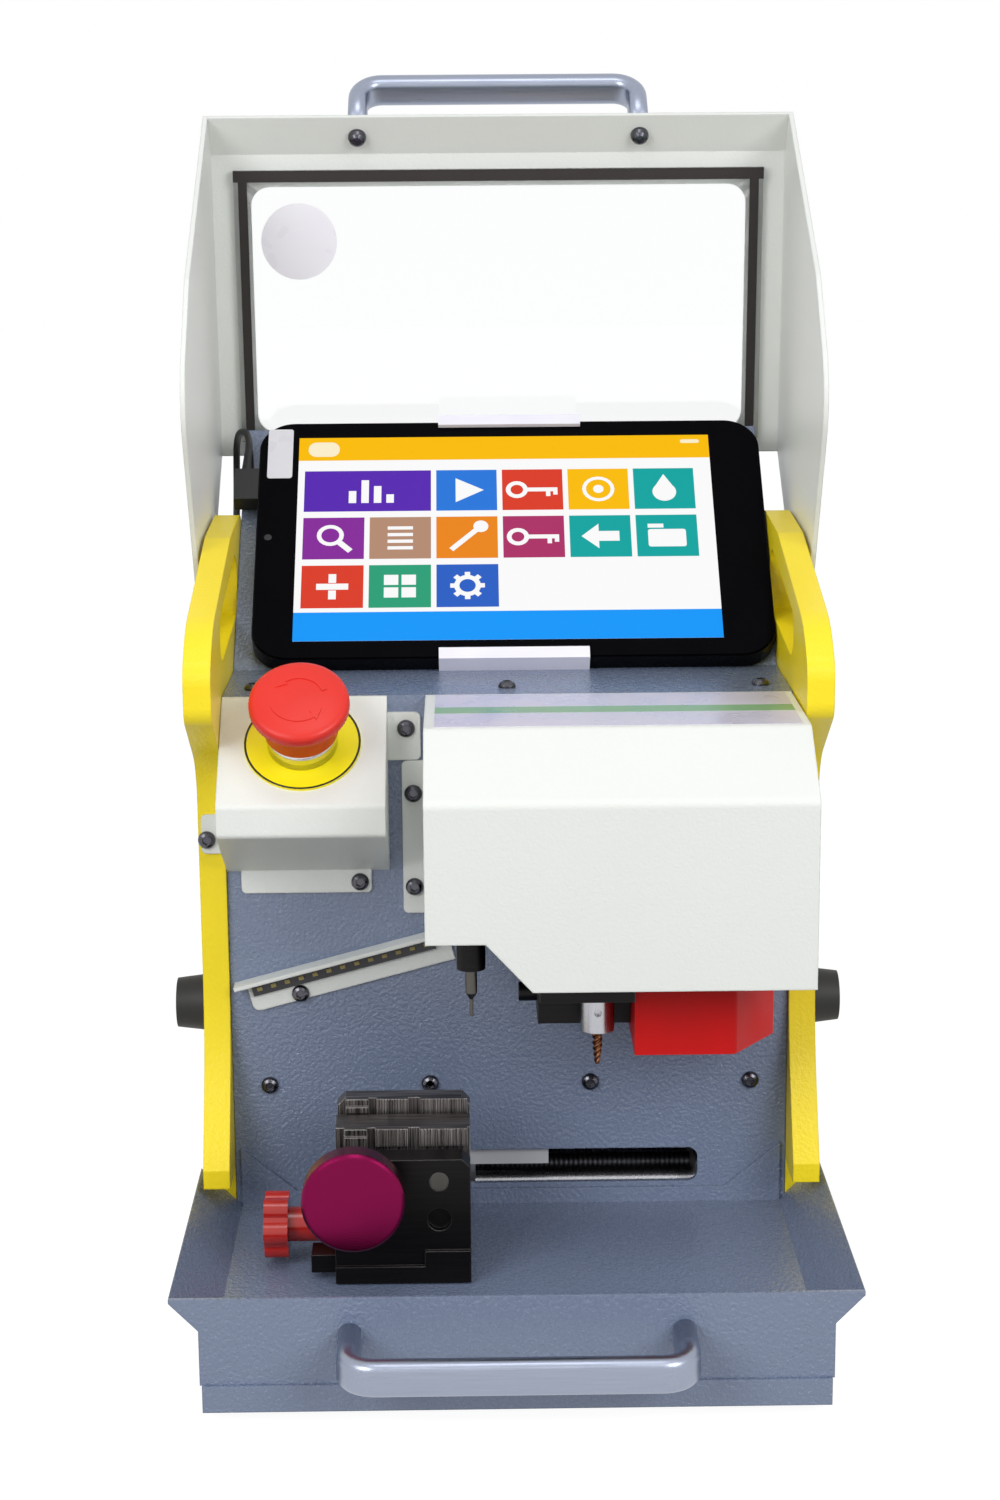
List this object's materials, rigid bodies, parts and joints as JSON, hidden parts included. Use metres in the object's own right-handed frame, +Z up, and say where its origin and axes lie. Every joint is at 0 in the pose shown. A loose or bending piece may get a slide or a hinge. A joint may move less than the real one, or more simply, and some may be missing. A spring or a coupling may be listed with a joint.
{
  "type": "key duplicating machine",
  "caption": "Bench key duplicating machine with an open windowed hood, sloping tablet, emergency stop, covered cutting spindle, key clamp on cross slides, chip tray and carrying handles.",
  "frame": {"origin": "on the table, under the middle of the whole machine with its hood open", "axes": "+X to the operator's right, +Y to the back, +Z up"},
  "size_m": [0.2686, 0.3388, 0.4732],
  "materials": {
    "grey_coat": "textured powder coat, satin",
    "cream_coat": "fine powder coat, satin",
    "yellow_coat": "smooth powder coat, semi-gloss",
    "satin_aluminium": "brushed and clear anodised",
    "machined_aluminium": "fine milled",
    "purple_anodised": "turned and colour anodised, satin",
    "black_oxide": "black oxide, oiled",
    "ground_steel": "ground and polished",
    "carbide": "coated carbide",
    "black_rubber": "matt",
    "foam_seal": "closed-cell foam",
    "black_plastic": "fine grained",
    "stop_red": "moulded, semi-gloss",
    "knob_red": "moulded, gloss",
    "guard_red": "moulded, satin",
    "label_yellow": "printed film",
    "clip_white": "moulded, gloss",
    "tablet_black": "moulded, gloss",
    "display_glass": "polished",
    "clear_acrylic": "polished",
    "shield_grey": "matt",
    "lamp_strip": "flexible board with small lamps",
    "board_green": "solder mask",
    "motor_black": "black lacquer"
  },
  "bodies": {
    "frame": {"base_pan": "grey_coat", "bumpers": "black_rubber", "chip_tray": "grey_coat", "control_board": "board_green", "estop_box": "cream_coat", "estop_ring": "label_yellow", "estop_switch": "black_plastic", "feet": "black_rubber", "front_handle": "satin_aluminium", "lid_pivot_pins": "black_oxide", "light_bracket": "cream_coat", "light_strip": "lamp_strip", "panel_screws": "black_oxide", "power_inlet": "black_plastic", "rear_cover": "grey_coat", "side_frame_left": "yellow_coat", "side_frame_right": "yellow_coat", "spindle_cover": "cream_coat", "switch_case": "black_plastic", "tablet_case": "tablet_black", "tablet_clips": "clip_white", "tablet_glass": "display_glass", "usb_lead": "black_plastic", "usb_plug": "black_plastic", "work_panel": "grey_coat", "x_end_blocks": "machined_aluminium", "x_motor": "motor_black", "x_rods": "ground_steel", "z_end_blocks": "machined_aluminium", "z_motor": "motor_black", "z_rods": "ground_steel"},
    "lid": {"lid_shell": "cream_coat", "lid_window": "clear_acrylic", "window_gasket": "foam_seal", "lid_handle": "satin_aluminium", "lid_handle_screws": "black_oxide"},
    "rocker": {"switch_rocker": "black_plastic"},
    "stop_plunger": {"estop_stem": "ground_steel"},
    "stop_head": {"estop_button": "stop_red"},
    "x_carriage": {"x_carriage": "machined_aluminium", "slot_shield": "shield_grey", "y_motor": "motor_black"},
    "x_screw": {"x_leadscrew": "ground_steel"},
    "key_clamp": {"y_arm": "machined_aluminium", "clamp_body": "black_oxide", "clamp_fixed_jaw": "black_oxide", "clamp_pin": "ground_steel"},
    "y_screw": {"y_leadscrew": "ground_steel"},
    "clamp_knob": {"clamp_knob": "purple_anodised"},
    "moving_jaw": {"clamp_moving_jaw": "black_oxide"},
    "lock_knob": {"lock_knob": "knob_red"},
    "cutting_head": {"spindle_head": "black_oxide", "spindle_motor": "motor_black", "drive_belt": "black_rubber", "guard_block": "guard_red"},
    "z_screw": {"z_leadscrew": "ground_steel"},
    "spindle": {"spindle": "ground_steel", "cutter": "carbide"},
    "motor_rotor": {"motor_pulley": "machined_aluminium"},
    "probe": {"probe_pin": "ground_steel"}
  },
  "joints": [
    {"name": "lid_hinge", "type": "hinge", "parent": "frame", "child": "lid", "pos_m": [0, 0.03165, 0.2303], "axis": [1, 0, 0], "range_deg": [0, 161]},
    {"name": "power_rocker", "type": "hinge", "parent": "frame", "child": "rocker", "pos_m": [0.095, 0.13765, 0.09], "axis": [1, 0, 0], "range_deg": [0, 14]},
    {"name": "stop_press", "type": "slide", "parent": "frame", "child": "stop_plunger", "axis": [0, 0.6428, -0.766], "range_m": [0, 0.004], "stiffness_N_per_m": 900, "springref_m": -0.002},
    {"name": "stop_twist", "type": "hinge", "parent": "stop_plunger", "child": "stop_head", "pos_m": [-0.0774, -0.02797, 0.22302], "axis": [0, -0.6428, 0.766], "range_deg": [-45, 0], "stiffness_Nm_per_rad": 0.05},
    {"name": "x_travel", "type": "slide", "parent": "frame", "child": "x_carriage", "axis": [1, 0, 0], "range_m": [-0.008, 0.084]},
    {"name": "x_screw_turn", "type": "hinge", "parent": "frame", "child": "x_screw", "pos_m": [0, 0.02865, 0.033], "axis": [1, 0, 0], "range_deg": [-361, 3781]},
    {"name": "y_travel", "type": "slide", "parent": "x_carriage", "child": "key_clamp", "axis": [0, 1, 0], "range_m": [-0.018, 0.012]},
    {"name": "y_screw_turn", "type": "hinge", "parent": "x_carriage", "child": "y_screw", "pos_m": [-0.041, 0.07965, 0.067], "axis": [0, 1, 0], "range_deg": [-811, 541]},
    {"name": "clamp_turn", "type": "hinge", "parent": "key_clamp", "child": "clamp_knob", "pos_m": [-0.0583, -0.09835, 0.0714], "axis": [0, 1, 0], "range_deg": [-1155, 492.5]},
    {"name": "jaw_slide", "type": "slide", "parent": "key_clamp", "child": "moving_jaw", "axis": [0, 1, 0], "range_m": [-0.004, 0.0017]},
    {"name": "lock_turn", "type": "hinge", "parent": "key_clamp", "child": "lock_knob", "pos_m": [-0.075, -0.06535, 0.0465], "axis": [1, 0, 0], "range_deg": [-180, 180]},
    {"name": "z_travel", "type": "slide", "parent": "frame", "child": "cutting_head", "axis": [0, 0, 1], "range_m": [-0.018, 0.012]},
    {"name": "z_screw_turn", "type": "hinge", "parent": "frame", "child": "z_screw", "pos_m": [0.04, 0.03065, 0.17], "axis": [0, 0, 1], "range_deg": [-811, 541]},
    {"name": "spindle_turn", "type": "hinge", "parent": "cutting_head", "child": "spindle", "pos_m": [0.032, -0.05535, 0.17], "axis": [0, 0, 1], "continuous": true},
    {"name": "motor_turn", "type": "hinge", "parent": "cutting_head", "child": "motor_rotor", "pos_m": [0.076, -0.04435, 0.21], "axis": [0, 0, 1], "continuous": true},
    {"name": "probe_press", "type": "slide", "parent": "cutting_head", "child": "probe", "axis": [0, 0, 1], "range_m": [0, 0.004], "stiffness_N_per_m": 250, "springref_m": -0.001}
  ],
  "couplings": [
    {"joint": "x_screw_turn", "follows": "x_travel", "rad_per_m": 785.4},
    {"joint": "y_screw_turn", "follows": "y_travel", "rad_per_m": 785.4},
    {"joint": "z_screw_turn", "follows": "z_travel", "rad_per_m": 785.4},
    {"joint": "clamp_turn", "follows": "jaw_slide", "rad_per_m": 5026.5},
    {"joint": "motor_turn", "follows": "spindle_turn", "ratio": 1.2}
  ]
}
